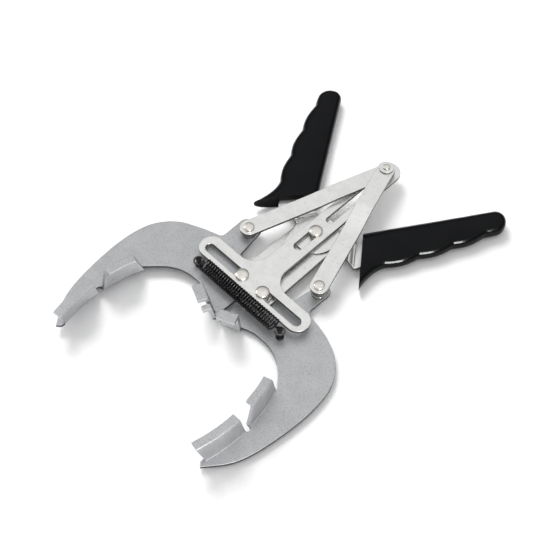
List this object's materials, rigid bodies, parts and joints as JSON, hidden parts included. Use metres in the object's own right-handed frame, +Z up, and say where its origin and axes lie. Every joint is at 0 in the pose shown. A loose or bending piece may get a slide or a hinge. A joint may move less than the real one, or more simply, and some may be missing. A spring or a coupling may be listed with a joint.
{
  "type": "piston ring expander pliers",
  "caption": "Reverse-action pliers whose two curved claws slide apart on a slotted guide plate to spread and carry a piston ring.",
  "frame": {"origin": "under the centre of the overall box, on the surface that the tool lies on", "axes": "+X to the right claw, +Y from the claws to the grips, +Z up through the stack of sheets"},
  "size_m": [0.1662, 0.2532, 0.0239],
  "materials": {
    "blasted_steel": "fine bead-blasted grey steel",
    "zinc_plate": "bright satin zinc plate",
    "nickel": "bright nickel plate",
    "black_steel": "black oxide spring wire",
    "black_vinyl": "glossy dipped vinyl"
  },
  "bodies": {
    "guide_body": {"guide_plate": "zinc_plate", "spring": "black_steel"},
    "left_claw": {"left_jaw": "blasted_steel", "left_slide_rivet": "nickel", "left_slide_washer": "zinc_plate", "left_link_rivet": "nickel", "left_link_spacer": "zinc_plate", "left_spring_post": "black_steel"},
    "right_claw": {"right_jaw": "blasted_steel", "right_slide_rivet": "nickel", "right_slide_washer": "zinc_plate", "right_link_rivet": "nickel", "right_link_spacer_lower": "zinc_plate", "right_link_spacer_upper": "zinc_plate", "right_spring_post": "black_steel"},
    "left_lever": {"left_handle": "zinc_plate", "left_grip": "black_vinyl"},
    "right_lever": {"right_handle": "zinc_plate", "right_grip": "black_vinyl", "pivot_rivet": "nickel", "pivot_disc": "zinc_plate"},
    "left_strut": {"left_link": "zinc_plate", "apex_rivet": "nickel", "apex_guide_washer": "zinc_plate", "apex_top_washer": "zinc_plate", "apex_under_washer": "zinc_plate"},
    "right_strut": {"right_link": "zinc_plate"}
  },
  "joints": [
    {"name": "left_jaw_slide", "type": "slide", "parent": "guide_body", "child": "left_claw", "axis": [-1, 0, 0], "range_m": [0, 0.02], "stiffness_N_per_m": 400, "springref_m": -0.01, "deforming": ["spring"]},
    {"name": "right_jaw_slide", "type": "slide", "parent": "guide_body", "child": "right_claw", "axis": [1, 0, 0], "range_m": [0, 0.02]},
    {"name": "left_handle_swing", "type": "hinge", "parent": "left_claw", "child": "left_lever", "pos_m": [-0.0089, -0.02468, 0.0043], "axis": [0, 0, -1], "range_deg": [0, 21.78]},
    {"name": "right_handle_swing", "type": "hinge", "parent": "right_claw", "child": "right_lever", "pos_m": [0.0089, -0.02468, 0.0043], "axis": [0, 0, 1], "range_deg": [0, 21.78]},
    {"name": "left_link_swing", "type": "hinge", "parent": "left_claw", "child": "left_strut", "pos_m": [-0.0305, 0.00212, 0.0126], "axis": [0, 0, -1], "range_deg": [0, 12.76]},
    {"name": "right_link_swing", "type": "hinge", "parent": "right_claw", "child": "right_strut", "pos_m": [0.0305, 0.00212, 0.0126], "axis": [0, 0, 1], "range_deg": [0, 12.76]}
  ],
  "couplings": [
    {"joint": "right_jaw_slide", "follows": "left_jaw_slide", "ratio": 1},
    {"joint": "left_handle_swing", "follows": "left_jaw_slide", "rad_per_m": 19},
    {"joint": "right_handle_swing", "follows": "left_jaw_slide", "rad_per_m": 19},
    {"joint": "left_link_swing", "follows": "left_jaw_slide", "rad_per_m": 11.13},
    {"joint": "right_link_swing", "follows": "left_jaw_slide", "rad_per_m": 11.13}
  ]
}
